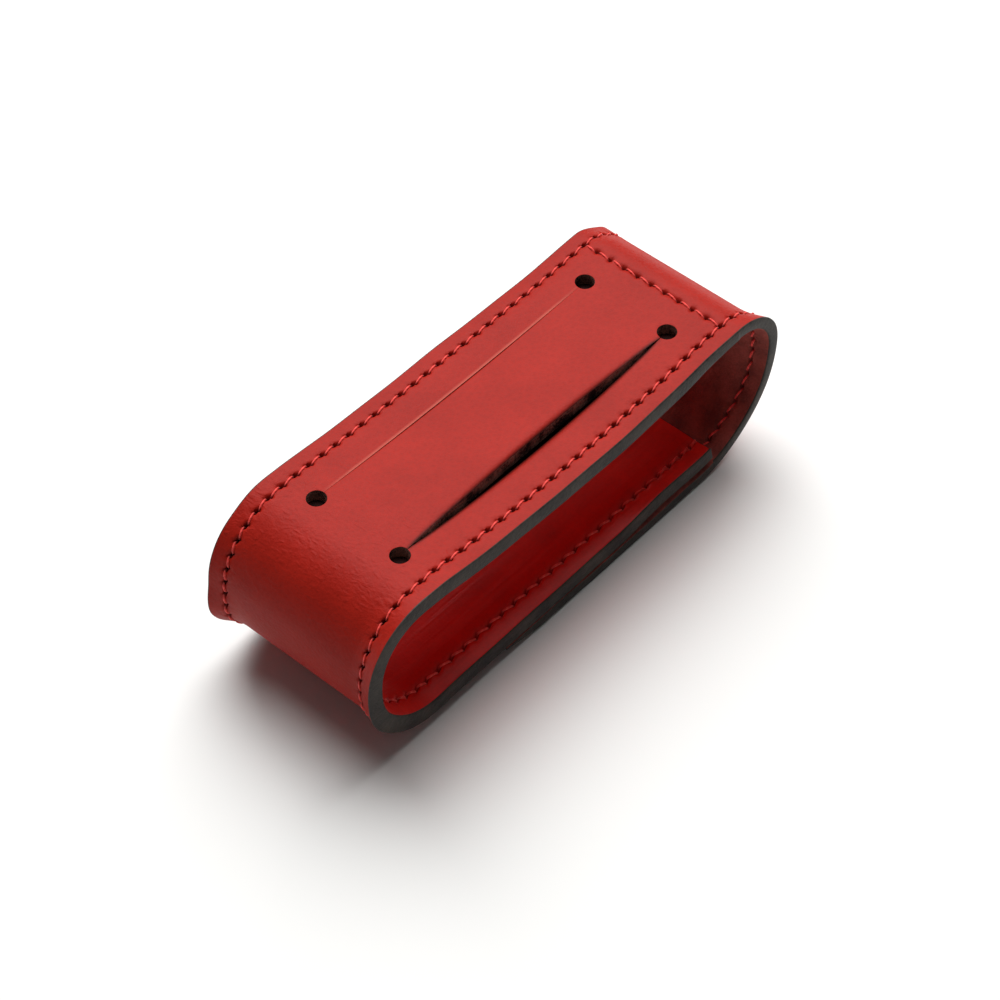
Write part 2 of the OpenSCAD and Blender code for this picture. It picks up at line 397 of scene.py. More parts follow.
def new_material(name: str) -> tuple[bpy.types.Material, bpy.types.NodeTree]:
    """Makes an empty material.

    Args:
        name: the finish's name.

    Returns:
        The material and its node tree.
    """
    material = bpy.data.materials.new(name)
    material.use_nodes = True
    material.node_tree.nodes.clear()
    return material, material.node_tree


@dataclass(frozen=True)
class GrainLeather:
    """Pigment-finished full-grain cowhide: rolled smooth, sprayed red, with fine pores left.

    The pigment coat gives a saturated colour under an even, half-matt sheen; pores and grain cells
    break up the highlight, bends throw fine creases across the strip, and pores and creases are
    painted a little darker as painted shade.
    """

    name: str
    colour: str
    deep: str
    roughness: float
    pore_mm: float = 0.35  # real pores are about half this, too fine to show in the render
    cell_mm: float = 0.9
    cloud_mm: float = 14.0
    fold_mm: float = 1.1
    streak_mm: float = 1.3
    relief_mm: float = 0.05
    crease_mm: float = 0.10
    streak: float = 0.0
    shine: float = 0.11

    def material(self) -> bpy.types.Material:
        """Builds the finish on the strip's own UV map.

        Returns:
            The material.
        """
        material, tree = new_material(self.name)
        place = add_node(tree, "TexCoord", {}).outputs["UV"]
        cloud = add_node(tree, "TexNoise", {
            "Vector": place, "Scale": UV_SPAN / self.cloud_mm, "Detail": 3.0})
        pore = add_node(tree, "TexNoise", {
            "Vector": place, "Scale": UV_SPAN / self.pore_mm, "Detail": 2.0})
        cell = add_node(tree, "TexVoronoi", {
            "Vector": place, "Scale": UV_SPAN / self.cell_mm, "Smoothness": 0.4,
        }, feature="SMOOTH_F1")
        across = add_node(tree, "Mapping", {
            "Vector": place, "Scale": (1.0, 0.55, 1.0), "Rotation": (0, 0, 0.08)})
        crease = add_node(tree, "TexNoise", {
            "Vector": across, "Scale": UV_SPAN / self.fold_mm, "Detail": 3.0, "Distortion": 0.5,
        }, noise_type="RIDGED_MULTIFRACTAL")
        mask = add_node(tree, "Attribute", {}, attribute_name="crease")
        fold = add_node(tree, "Math", {0: crease, 1: mask.outputs["Fac"]}, operation="MULTIPLY")
        along = add_node(tree, "Mapping", {"Vector": place, "Scale": (0.035, 1, 1)})
        streak = add_node(tree, "TexNoise", {
            "Vector": along, "Scale": UV_SPAN / self.streak_mm, "Detail": 3.0})
        # pores and cells, then the creases, then long streaks, each to its own depth
        grain = add_node(tree, "Math", {
            0: cell.outputs["Distance"], 1: 0.7, 2: pore}, operation="MULTIPLY_ADD")
        normal = {}
        for depth, height in ((self.relief_mm, grain), (self.crease_mm, fold),
                              (0.12 * self.streak, streak)):
            bump = add_node(tree, "Bump", {
                "Strength": 1.0, "Distance": depth * MM, "Height": height, **normal})
            normal = {"Normal": bump}
        tone = add_node(tree, "MapRange", {"Value": cloud, "From Min": 0.35, "From Max": 0.68})
        if self.streak:
            tone = add_node(tree, "Math", {0: tone, 1: streak}, operation="MULTIPLY")
        base = add_node(tree, "Mix", {
            0: tone, 6: linear(self.colour), 7: linear(self.deep)}, data_type="RGBA")
        # pores and crease lines darken the red a little: painted shade that follows the bump's
        # relief
        sunk = add_node(tree, "Math", {0: fold, 1: -0.25, 2: grain}, operation="MULTIPLY_ADD")
        grain_shade = add_node(tree, "MapRange", {
            "Value": sunk, "From Min": 0.1, "From Max": 1.1, "To Min": 0.80, "To Max": 1.08})
        base = add_node(tree, "Mix", {
            0: 0.8, 6: base.outputs[2], 7: grain_shade}, data_type="RGBA", blend_type="MULTIPLY")
        # painted marks over the red: a pale painted highlight on the far slit's arris, painted
        # shade along the near slit, and painted shade down the needle holes
        for attribute, tint in (("arris_highlight", "#C25A4C"), ("painted_slit_shade", "#2A0B07"),
                                ("needle_hole_shade", "#3A0603")):
            share = add_node(tree, "Attribute", {}, attribute_name=attribute)
            base = add_node(tree, "Mix", {
                0: share.outputs["Fac"], 6: base.outputs[2], 7: linear(tint)}, data_type="RGBA")
        rough = add_node(tree, "MapRange", {
            "Value": pore, "To Min": self.roughness - 0.07, "To Max": self.roughness + 0.09})
        shader = add_node(tree, "BsdfPrincipled", {
            "Base Color": base.outputs[2], "Roughness": rough, "IOR": 1.5,
            "Specular IOR Level": self.shine, **normal})
        add_node(tree, "OutputMaterial", {0: shader})
        return material


@dataclass(frozen=True)
class RoughLeather:
    """Leather that was cut or split: the suede flesh side, the painted rims, the raw slit walls.

    Loose fibres or a thin coat of edge paint over them scatter the light, so it looks dull and
    uneven, with small dark gaps between lighter fibre ends.
    """

    name: str
    colour: str
    deep: str
    roughness: float
    fibre_mm: float  # drawn coarser than real fibre ends, which are too fine to show
    relief_mm: float
    sheen: float = 0.0
    shine: float = 0.3
    spread: float = 0.45

    def material(self) -> bpy.types.Material:
        """Builds the finish on Object coordinates, as it shows on walls of any direction.

        Returns:
            The material.
        """
        material, tree = new_material(self.name)
        place = add_node(tree, "TexCoord", {}).outputs["Object"]
        fibre = add_node(tree, "TexNoise", {
            "Vector": place, "Scale": 1000 / self.fibre_mm, "Detail": 4.0, "Roughness": 0.65})
        patch = add_node(tree, "TexNoise", {
            "Vector": place, "Scale": 1000 / (9 * self.fibre_mm), "Detail": 2.0})
        mixed = add_node(tree, "Math", {0: fibre, 1: 0.65, 2: patch}, operation="MULTIPLY_ADD")
        tone = add_node(tree, "MapRange", {
            "Value": mixed, "From Min": 0.83 - self.spread / 2,
            "From Max": 0.83 + self.spread / 2})
        base = add_node(tree, "Mix", {
            0: tone, 6: linear(self.deep), 7: linear(self.colour)}, data_type="RGBA")
        bump = add_node(tree, "Bump", {
            "Strength": 1.0, "Distance": self.relief_mm * MM, "Height": fibre})
        shader = add_node(tree, "BsdfPrincipled", {
            "Base Color": base.outputs[2], "Roughness": self.roughness, "IOR": 1.5,
            "Specular IOR Level": self.shine, "Sheen Weight": self.sheen, "Sheen Roughness": 0.6,
            "Sheen Tint": linear(self.colour), "Normal": bump})
        add_node(tree, "OutputMaterial", {0: shader})
        return material


@dataclass(frozen=True)
class SewingThread:
    """Bonded three-ply polyester thread, dyed red a shade lighter than the leather.

    The twist throws slanting highlights along each stitch, with painted shade in the grooves
    between the plies, and the bonding gives a soft sheen.
    """

    name: str
    colour: str
    deep: str
    lay_mm: float = 1.1
    ply_mm: float = 0.03

    def material(self) -> bpy.types.Material:
        """Builds the finish on the thread's own UV map: U along it, V once round it.

        Returns:
            The material.
        """
        material, tree = new_material(self.name)
        place = add_node(tree, "TexCoord", {}).outputs["UV"]
        turned = add_node(tree, "Mapping", {
            "Vector": place, "Scale": (UV_SPAN / self.lay_mm, 1.0, 1.0)})
        split = add_node(tree, "SeparateXYZ", {0: turned})
        slant = add_node(tree, "Math", {0: split, 1: split.outputs[1]}, operation="ADD")
        round_it = add_node(tree, "Math", {0: slant, 1: 2 * math.pi}, operation="MULTIPLY")
        ply = add_node(tree, "Math", {0: round_it}, operation="SINE")
        height = add_node(tree, "MapRange", {"Value": ply, "From Min": -1.0, "From Max": 1.0})
        bump = add_node(tree, "Bump", {
            "Strength": 1.0, "Distance": self.ply_mm * MM, "Height": height})
        # the grooves between the plies are painted darker than the crests: painted shade that
        # follows the ply relief
        base = add_node(tree, "Mix", {
            0: height, 6: linear(self.deep), 7: linear(self.colour)}, data_type="RGBA")
        # where the thread dips into a needle hole it is painted dark: painted shade
        sunk = add_node(tree, "Attribute", {}, attribute_name="needle_hole_shade")
        base = add_node(tree, "Mix", {
            0: sunk.outputs["Fac"], 6: base.outputs[2], 7: linear("#4A0805")}, data_type="RGBA")
        shader = add_node(tree, "BsdfPrincipled", {
            "Base Color": base.outputs[2], "Roughness": 0.68, "IOR": 1.54,
            "Specular IOR Level": 0.25, "Sheen Weight": 0.12, "Sheen Roughness": 0.4,
            "Normal": bump})
        add_node(tree, "OutputMaterial", {0: shader})
        return material


RED_GRAIN = GrainLeather("red_grain_leather", "#9D1C10", "#93180C", 0.52)
LINING_GRAIN = GrainLeather("lining_grain_leather", "#D0190D", "#9C0C06", 0.40,
                            cell_mm=0.7, relief_mm=0.02, streak=1.0, shine=0.25)
FLESH = RoughLeather("flesh_side_suede", "#A04E44", "#733730", 0.92, 0.45, 0.22, 0.2)
LINING_FLESH = RoughLeather("lining_flesh_side", "#3A1512", "#1A0706", 0.95, 0.45, 0.2)
EDGE_PAINT = RoughLeather("edge_paint", "#3D352E", "#1B1613", 0.62, 0.8, 0.14)
RAW_CUT = RoughLeather("raw_cut_leather", "#94695D", "#160403", 0.9, 0.5, 0.35, spread=0.28)
THREAD = SewingThread("red_sewing_thread", "#EE5048", "#D93C35")


# ---- bench helpers


def clear_selection() -> None:
    """Leaves nothing selected and no object active."""
    bpy.ops.object.select_all(action="DESELECT")
    bpy.context.view_layer.objects.active = None


def take(piece: Piece) -> None:
    """Selects one piece alone and makes it active.

    Args:
        piece: the piece.
    """
    clear_selection()
    piece.select_set(True)
    bpy.context.view_layer.objects.active = piece


def join(pieces: list[Piece]) -> Piece:
    """Joins pieces into the first of them.

    Args:
        pieces: the pieces.

    Returns:
        The first piece, which now holds them all.
    """
    take(pieces[0])
    for piece in pieces[1:]:
        piece.select_set(True)
    bpy.ops.object.join()
    return pieces[0]


def read(
    elements: bpy.types.bpy_prop_collection, name: str, width: int = 1, kind: type = float
) -> Array:
    """Reads one property of all a mesh's vertices, edges, faces or corners.

    Args:
        elements: the vertices, edges, faces or corners.
        name: the property.
        width: how many numbers each element has.
        kind: the type of the numbers.

    Returns:
        A number for each element, or a row where it has more than one.
    """
    values = np.empty(len(elements) * width, kind)
    elements.foreach_get(name, values)
    return values.reshape(-1, width) if width > 1 else values


def vertex_array(piece: Piece) -> Array:
    """Rows of the piece's vertex places."""
    return read(piece.data.vertices, "co", 3)


def put_vertices(piece: Piece, places: Array) -> None:
    """Moves the piece's vertices to the given places."""
    piece.data.vertices.foreach_set("co", places.astype(np.float32).ravel())
    piece.data.update()


def put_uv(mesh: bpy.types.Mesh, rows: Array) -> None:
    """Writes the UV map.

    Args:
        mesh: the piece's mesh.
        rows: U and V of each vertex.
    """
    corners = rows[read(mesh.loops, "vertex_index", kind=int)]
    layer = mesh.uv_layers.new(name="UVMap")
    layer.uv.foreach_set("vector", corners.astype(np.float32).ravel())


def put_marks(mesh: bpy.types.Mesh, marks: dict[str, Array]) -> None:
    """Writes the marks that the finishes read.

    Args:
        mesh: the piece's mesh.
        marks: a value for each vertex, by the mark's name.
    """
    for name, values in marks.items():
        mark = mesh.attributes.new(name, "FLOAT", "POINT")
        mark.data.foreach_set("value", values.astype(np.float32))


def edit_on(piece: Piece, kind: str = "FACE", chosen: Array | None = None) -> None:
    """Opens the piece for editing with only the chosen edges or faces selected.

    Args:
        piece: the piece.
        kind: EDGE or FACE.
        chosen: true for each element that is selected, or all where it is left out.
    """
    take(piece)
    bpy.ops.object.mode_set(mode="EDIT")
    bpy.ops.mesh.select_mode(type=kind)
    bpy.ops.mesh.select_all(action="DESELECT")
    bpy.ops.object.mode_set(mode="OBJECT")
    group = {"EDGE": piece.data.edges, "FACE": piece.data.polygons}[kind]
    chosen = np.ones(len(group), bool) if chosen is None else chosen
    group.foreach_set("select", chosen)
    bpy.ops.object.mode_set(mode="EDIT")


def edit_off() -> None:
    """Closes editing."""
    bpy.ops.object.mode_set(mode="OBJECT")


def apply_modifier(piece: Piece, kind: str, settings: dict) -> None:
    """Adds a modifier to the piece and applies it.

    Args:
        piece: the piece.
        kind: Blender's name for the modifier.
        settings: the modifier's options.
    """
    take(piece)
    modifier = piece.modifiers.new(kind.lower(), kind)
    for name, value in settings.items():
        setattr(modifier, name, value)
    bpy.ops.object.modifier_apply(modifier=modifier.name)


def hand_over(piece: Piece, slot: str, *nodes: str) -> None:
    """Lets the piece ride on the loop and hides the CAD nodes it stands for.

    Args:
        piece: the finished piece.
        slot: not used.
        nodes: the CAD nodes that it replaces.
    """
    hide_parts(*nodes)
    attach(piece, "root")
    log.info("%s: %d faces", piece.name, len(piece.data.polygons))


# ---- the leather


@dataclass
class Strip:
    """A strip of leather, cut, punched and stabbed flat and then wound into the loop."""

    loop: Loop
    name: str
    layer: Layer
    start: float
    end: float
    top: float  # depth of its grain or flesh face nearest the outside
    thickness: float
    rim_round: float = 0.3
    row_press: float = 0.06
    cross_press: float = 0.04
    press_w: float = 0.75
    hole_long: float = 0.8
    hole_wide: float = 0.5
    hole_slant: float = 0.3
    cross_hole: tuple = (0.6, 0.45)
    hole_edge: float = 0.6  # less than 1 for a round bottom and steep walls
    # strength of the painted shade down the needle holes
    hole_shade: float = 1.0
    clear: float = 0.3  # no hole is nearer than this to where other leather ends
    piece: Piece = None

    # places of the cutting lines past each needle hole, and from the strip's ends
    HOLE_LINES = (-0.42, 0, 0.42, 1.12, 1.8, 2.48)
    END_LINE = 0.55
    LEAST_GAP = 0.3
    # places of the cutting lines from the middle of the width, and from each row
    MIDDLE_LINES = (0, 0.45, 1.5, 2.5, 3.0, 3.46, 3.9, 5.2, 6.45, 6.92, 7.4, 8.6, 9.3, 9.75,
                    10.39, 10.41, 11.05, 11.6, 12.4, 13.4, 13.84, 14.3, 15.4)
    ROW_LINES = (-1.0, -0.52, -0.26, 0, 0.26, 0.52, 1.0)
    RIM_LINES = (19.1, 19.9, 20.5, 21)

    def lines_along(self) -> Array:
        """Places along the strip of the lines that its faces are cut on, closer at the holes.

        Returns:
            The places, from its start to its end.
        """
        loop = self.loop
        lines = [self.start, self.end, self.start + self.END_LINE, self.end - self.END_LINE]
        for k in range(-1, round(self.end / loop.pitch) + 2):
            lines += [loop.hole(k) + past for past in self.HOLE_LINES]
        lines = sorted(line for line in lines if self.start <= line <= self.end)
        kept = lines[:1]
        for line in lines[1:-1]:
            if line - kept[-1] > self.LEAST_GAP and self.end - line > self.LEAST_GAP:
                kept.append(line)
        return np.array([*kept, lines[-1]])

    def lines_across(self) -> Array:
        """Places across the strip of the same lines, closer at the rows and the slits.

        Returns:
            The places, from the near rim to the far one.
        """
        rows = (self.loop.row_y + past for past in self.ROW_LINES)
        half = [*self.MIDDLE_LINES, *rows, *self.RIM_LINES]
        return np.array([-v for v in half[:0:-1]] + half)

    def cut(self, finishes: list[bpy.types.Material]) -> None:
        """Lays the flat sheet out on the bench as a grid of the cutting lines.

        Args:
            finishes: the materials of its flesh, grain, rims and raw cuts, in slot order.
        """
        along, across = self.lines_along(), self.lines_across()
        clear_selection()
        bpy.ops.mesh.primitive_grid_add(
            x_subdivisions=len(along) - 1, y_subdivisions=len(across) - 1, size=1.0,
            calc_uvs=False, location=(0.5, 0.5, 0),
        )
        self.piece = bpy.context.active_object
        self.piece.name = self.piece.data.name = self.name
        bpy.ops.object.transform_apply(location=True, rotation=True, scale=True)
        places = vertex_array(self.piece)
        columns = np.rint(places[:, 0] * (len(along) - 1)).astype(int)
        rows = np.rint(places[:, 1] * (len(across) - 1)).astype(int)
        places[:, 0], places[:, 1] = along[columns], across[rows]
        places[:, 2] = self.thickness
        put_vertices(self.piece, places)
        for finish in finishes:
            self.piece.data.materials.append(finish)

    def thicken(self) -> None:
        """Gives the sheet its thickness, its other face and its rims."""
        apply_modifier(self.piece, "SOLIDIFY", {
            "thickness": self.thickness, "offset": -1.0, "use_rim": True,
            "material_offset": Slot.GRAIN, "material_offset_rim": Slot.RIM,
        })

    def round_rims(self, grain_down: bool, bare: tuple[float, float]) -> None:
        """Rounds the rims as an edge tool does, where they aren't against other leather.

        Args:
            grain_down: the rounded face is the one at depth 0.
            bare: stretch of the strip whose other face is bare as well.
        """
        places = vertex_array(self.piece)[read(self.piece.data.edges, "vertices", 2, int)]
        on_rim = (np.abs(places[:, :, 1]) > self.loop.width / 2 - SLACK).all(1)
        on_rim |= (places[:, :, 0] < self.start + SLACK).all(1)
        on_rim |= (places[:, :, 0] > self.end - SLACK).all(1)
        low = (places[:, :, 2] < SLACK).all(1)
        high = (places[:, :, 2] > self.thickness - SLACK).all(1)
        open_here = (places[:, :, 0] > bare[0]).all(1) & (places[:, :, 0] < bare[1]).all(1)
        chosen = on_rim & ((low if grain_down else high) | (high & open_here))
        edit_on(self.piece, "EDGE", chosen)
        bpy.ops.mesh.bevel(offset=self.rim_round, segments=2, affect="EDGES",
                           material=Slot.RIM, clamp_overlap=False)
        edit_off()

    def stab(self, face_z: float, sign: int, reach: tuple[float, float], deep: float) -> None:
        """Stabs the needle holes and presses the stitch lines into one face.

        Args:
            face_z: height of the face on the bench.
            sign: 1 where a hole goes up the bench, -1 where it goes down.
            reach: stretch of the strip that is stabbed.
            deep: depth of a hole in millimetres.
        """
        loop, places = self.loop, vertex_array(self.piece)
        s, y = places[:, 0], places[:, 1]
        on_face = (np.abs(places[:, 2] - face_z) < 0.02) & (s > reach[0]) & (s < reach[1])
        press = self.row_press * np.exp(-(((np.abs(y) - loop.row_y) / self.press_w) ** 2))
        line = self.cross_press * np.exp(-(((s - loop.cross_s) / self.press_w) ** 2))
        sunk = press + np.where(np.abs(y) < loop.row_y - 1, line, 0) + self.holes(places) * deep
        places[:, 2] += np.where(on_face, sign * sunk, 0)
        put_vertices(self.piece, places)

    def holes(self, flat: Array) -> Array:
        """How deep each point of the flat leather lies in a needle hole.

        Args:
            flat: rows of distance along, place across and height on the bench.

        Returns:
            1 at the middle of a hole and 0 outside it.
        """
        loop, s, y = self.loop, flat[:, 0], flat[:, 1]
        ds = ((s / loop.pitch - loop.phase + 0.5) % 1 - 0.5) * loop.pitch
        off = np.abs(y) - loop.row_y - self.hole_slant * np.sign(y) * ds
        rim = np.clip(1 - (ds / self.hole_long) ** 2 - (off / self.hole_wide) ** 2, 0, 1)
        step, (wide, long) = loop.cross_pitch, self.cross_hole
        dc = ((y + loop.row_y) / step + 0.5) % 1 * step - step / 2
        cross = np.clip(1 - (dc / wide) ** 2 - ((s - loop.cross_s) / long) ** 2, 0, 1)
        cross = np.where(np.abs(y) < loop.row_y - 1, cross, 0)
        return np.maximum(rim, cross) ** self.hole_edge

    def dress(self) -> None:
        """Maps the flat leather and marks where it creases, the painted shade down the needle
        holes, and the painted highlight and shade at the slits.
        """
        mesh, flat = self.piece.data, vertex_array(self.piece)
        put_uv(mesh, flat[:, :2] / UV_SPAN)
        s = flat[:, 0]
        # the heel bend is creased most, its lower half less, and the toe bend a little
        bent = swell(s, 184, 202, 250, 262) * (1 - 0.8 * ease(s, 214, 232))
        bent = bent + 0.4 * swell(s, 96, 104, 116, 124) + 0.10
        arris_highlight, painted_slit_shade = self.slit_light_and_shade(flat)
        put_marks(mesh, {"crease": bent, "needle_hole_shade": self.holes(flat) * self.hole_shade,
                         "arris_highlight": arris_highlight, "painted_slit_shade": painted_slit_shade})

    def slit_light_and_shade(self, flat: Array) -> tuple[Array, Array]:
        """The painted highlight and painted shade shares of each point: none, where there are no
        slits.
        """
        return np.zeros(len(flat)), np.zeros(len(flat))

    def wind(self) -> None:
        """Winds the flat leather into the loop and smooths its shading."""
        flat = vertex_array(self.piece)
        flat[:, 2] += self.top
        put_vertices(self.piece, self.loop.wound(flat, self.layer))
        edit_on(self.piece)
        bpy.ops.mesh.normals_make_consistent(inside=False)
        edit_off()
        take(self.piece)
        bpy.ops.object.shade_smooth_by_angle(angle=math.radians(50))


@dataclass
class OuterStrip(Strip):
    """The thick red strip, with the belt slits and their punched ends."""

    punch_d: float = 4.0
    arris: float = 0.3
    grain_stab: float = 1.35
    flesh_stab: float = 1.1
    slit_zone: float = 14.0  # nearer the middle than this, a wall is a slit's or a hole's

    def open_slits(self) -> None:
        """Cuts both slits by taking out the hair-wide lane between their two lines."""
        centres = read(self.piece.data.polygons, "center", 3)
        ends = self.loop.slit_ends()
        lane = np.abs(np.abs(centres[:, 1]) - self.loop.slit_spacing / 2) < 0.05
        lane &= (centres[:, 0] > ends[0]) & (centres[:, 0] < ends[1])
        edit_on(self.piece, "FACE", lane)
        bpy.ops.mesh.delete(type="FACE")
        edit_off()

    def punch(self) -> None:
        """Punches the four round holes at the ends of the slits."""
        half, cutters = self.loop.slit_spacing / 2, []
        for s in self.loop.slit_ends():
            for y in (-half, half):
                clear_selection()
                bpy.ops.mesh.primitive_cylinder_add(
                    vertices=40, radius=self.punch_d / 2, depth=3 * self.thickness,
                    calc_uvs=False, location=(s, y, self.thickness / 2))
                cutters.append(bpy.context.active_object)
        tool = join(cutters)
        apply_modifier(self.piece, "BOOLEAN",
                       {"object": tool, "operation": "DIFFERENCE", "solver": "EXACT"})
        bpy.data.objects.remove(tool)

    def mark_raw_cuts(self) -> None:
        """Gives the walls of the slits and punched holes the raw cut finish."""
        faces, ends = self.piece.data.polygons, self.loop.slit_ends()
        centres, normals = read(faces, "center", 3), read(faces, "normal", 3)
        reach = self.punch_d / 2 + 1
        wall = (np.abs(normals[:, 2]) < 0.5) & (np.abs(centres[:, 1]) < self.slit_zone)
        wall &= (centres[:, 0] > ends[0] - reach) & (centres[:, 0] < ends[1] + reach)
        slots = read(faces, "material_index", kind=np.int32)
        slots[wall] = Slot.RAW
        faces.foreach_set("material_index", slots)

    def soften_slits(self) -> None:
        """Takes the sharp arris off the grain edge of the slits and the punched holes."""
        mesh = self.piece.data
        touched = {Slot.RAW: set(), Slot.GRAIN: set()}
        for face in mesh.polygons:
            if abs(face.center[1]) < self.slit_zone and face.material_index in touched:
                touched[face.material_index].update(face.vertices)
        arris = np.zeros(len(mesh.vertices), bool)
        arris[list(touched[Slot.RAW] & touched[Slot.GRAIN])] = True
        arris &= vertex_array(self.piece)[:, 2] < SLACK
        edit_on(self.piece, "EDGE", arris[read(mesh.edges, "vertices", 2, int)].all(1))
        bpy.ops.mesh.bevel(offset=self.arris, segments=2, affect="EDGES", clamp_overlap=True)
        edit_off()

    def slit_light_and_shade(self, flat: Array) -> tuple[Array, Array]:
        """Where the far slit's arris is painted pale as a highlight and the near slit's edges are
        painted dark as shade.

        Args:
            flat: rows of distance along, place across and height on the bench.

        Returns:
            The painted highlight share and the painted shade share of each point.
        """
        s, y, skin = flat[:, 0], flat[:, 1], flat[:, 2] < 0.45
        half, ends = self.loop.slit_spacing / 2, self.loop.slit_ends()
        middle = (ends[0] + ends[1]) / 2
        inside = 1 - ((s - middle) / (ends[1] - middle)) ** 2
        # a pale painted highlight along the far slit's edge, where its arris catches the light
        arris_highlight = np.where((y > half) & (y < half + 0.22), np.clip(inside * 2, 0, 1), 0)
        # painted shade along both edges of the near slit, a little less on the near border
        painted_slit_shade = np.clip(1 - np.abs(y + half) / 0.7, 0, 1) * np.clip(inside * 3, 0, 1)
        painted_slit_shade *= np.where(y > -half, 1.0, 0.7)
        return arris_highlight * skin, np.clip(painted_slit_shade * 1.6, 0, 1) * skin

    def build(self) -> None:
        """Makes the strip from the flat cut to the wound and dressed piece."""
        loop = self.loop
        self.cut([finished(finish) for finish in (FLESH, RED_GRAIN, EDGE_PAINT, RAW_CUT)])
        self.open_slits()
        self.thicken()
        self.punch()
        self.mark_raw_cuts()
        self.soften_slits()
        self.round_rims(True, (loop.covered_to, loop.top_start))
        bare = loop.covered_to + self.clear, loop.top_start - self.clear
        self.stab(0.0, 1, (0.5, loop.strip_end), self.grain_stab)
        self.stab(self.thickness, -1, bare, self.flesh_stab)
        self.dress()
        self.wind()
        hand_over(self.piece, "red_leather", "outer_strip")


@dataclass
class LiningStrip(Strip):
    """The thin glossy red lining, grain side to the inside of the loop."""

    grain_stab: float = 0.95

    def turn_grain_up(self) -> None:
        """Swaps the finishes of the two faces, as the lining lies flesh side to the strip."""
        faces = self.piece.data.polygons
        slots = read(faces, "material_index", kind=np.int32)
        turned = np.choose(slots, [Slot.GRAIN, Slot.FLESH, Slot.RIM])
        faces.foreach_set("material_index", turned.astype(np.int32))

    def pare(self) -> None:
        """Pares the first few millimetres thin, so that no step is felt under the row."""
        places = vertex_array(self.piece)
        places[:, 2] *= self.loop.lining_at(places[:, 0]) / self.loop.lining_t
        put_vertices(self.piece, places)

    def build(self) -> None:
        """Makes the lining from the flat cut to the wound and dressed piece."""
        self.cut([finished(finish) for finish in (LINING_FLESH, LINING_GRAIN, EDGE_PAINT)])
        self.thicken()
        self.turn_grain_up()
        self.round_rims(False, (math.inf, math.inf))
        bare = self.start + self.clear, self.end - self.clear
        self.stab(self.thickness, -1, bare, self.grain_stab)
        self.pare()
        self.dress()
        self.wind()
        hand_over(self.piece, "lining_leather", "lining_strip")


# ---- the sewing


@dataclass
class Row:
    """A lockstitched row: one stitch shaped once, repeated, and laid into the leather."""

    loop: Loop
    name: str
    side: Side
    node: str
    radius: float = 0.22
    crest: float = -0.02
    dip: float = 1.25
    slant: float = 0.26
    # strength of the painted shade where the thread dips into a hole
    hole_shade: float = 1.0
    piece: Piece = None

    # shares of the pitch at which the stitch is cut across, up to its middle
    CUTS = (0.06, 0.13, 0.22, 0.36)

    def stitch(self, pitch: float) -> None:
        """Shapes one stitch on the bench, from needle hole to needle hole along X.

        Args:
            pitch: its length.
        """
        clear_selection()
        bpy.ops.mesh.primitive_cylinder_add(
            vertices=6, radius=self.radius, depth=pitch, end_fill_type="NOTHING",
            calc_uvs=False, location=(pitch / 2, 0, 0), rotation=(0, math.pi / 2, 0))
        self.piece = bpy.context.active_object
        self.piece.name = self.piece.data.name = self.name
        bpy.ops.object.transform_apply(location=True, rotation=True, scale=True)
        cuts = [*self.CUTS, 0.5, *(1 - cut for cut in self.CUTS[::-1])]
        for cut in cuts:
            edit_on(self.piece)
            bpy.ops.mesh.bisect(plane_co=(cut * pitch, 0, 0), plane_no=(1, 0, 0))
            edit_off()
        places = vertex_array(self.piece)
        rings = np.array([0, *cuts, 1.0])
        ring = np.abs(places[:, :1] / pitch - rings[None]).argmin(1)
        # centre line of the thread up out of one hole and over to the stitch's middle; the way
        # down into the next hole mirrors it
        x = np.array([0, 0.104, 0.143, 0.24, 0.36, 0.5])
        y = self.slant * np.array([0, 0.9, 1, 0.75, 0.4, 0])
        z = np.array([-self.dip, -0.72 * self.dip, -0.34, self.crest - 0.10, self.crest + 0.02,
                      self.crest + 0.04])
        slim = np.array([0.6, 0.75, 0.9, 1, 1.04, 1.06])
        x = pitch * np.concatenate([x, 1 - x[-2::-1]])
        y, z, slim = (np.concatenate([half, sign * half[-2::-1]])
                      for half, sign in ((y, -1), (z, 1), (slim, 1)))
        lean_x, lean_z = np.gradient(x), np.gradient(z)
        lean_x[[0, -1]], lean_z[[0, -1]] = 1.0, 0.0
        size = np.hypot(lean_x, lean_z)
        lean_x, lean_z = lean_x / size, lean_z / size
        up, out = places[:, 2] * slim[ring], places[:, 1] * slim[ring]
        moved = np.stack([x[ring] - lean_z[ring] * up, y[ring] + out,
                          z[ring] + lean_x[ring] * up], 1)
        turn = np.arctan2(places[:, 2], places[:, 1]) / (2 * math.pi) + 0.5
        put_uv(self.piece.data, np.stack([places[:, 0] / UV_SPAN, turn], 1))
        # the stretch that dips below the leather's face is marked for painted shade
        sunk = np.clip((-0.05 - z[ring]) / 0.35, 0, 1)
        put_marks(self.piece.data, {"needle_hole_shade": sunk * self.hole_shade})
        put_vertices(self.piece, moved)

    def repeat(self, count: int, pitch: float) -> None:
        """Repeats the stitch along the bench into one unbroken thread.

        Args:
            count: number of stitches.
            pitch: length of each.
        """
        apply_modifier(self.piece, "ARRAY", {
            "count": count, "use_relative_offset": False, "use_constant_offset": True,
            "constant_offset_displace": (pitch, 0, 0), "use_merge_vertices": True,
            "merge_threshold": 0.001,
        })

    def finish(self) -> None:
        """Dresses the thread, smooths it and hands it over for the CAD thread of its name."""
        self.piece.data.materials.append(finished(THREAD))
        edit_on(self.piece)
        bpy.ops.mesh.fill_holes(sides=6)
        bpy.ops.mesh.normals_make_consistent(inside=False)
        edit_off()
        take(self.piece)
        bpy.ops.object.shade_smooth()
        hand_over(self.piece, "thread", self.node)


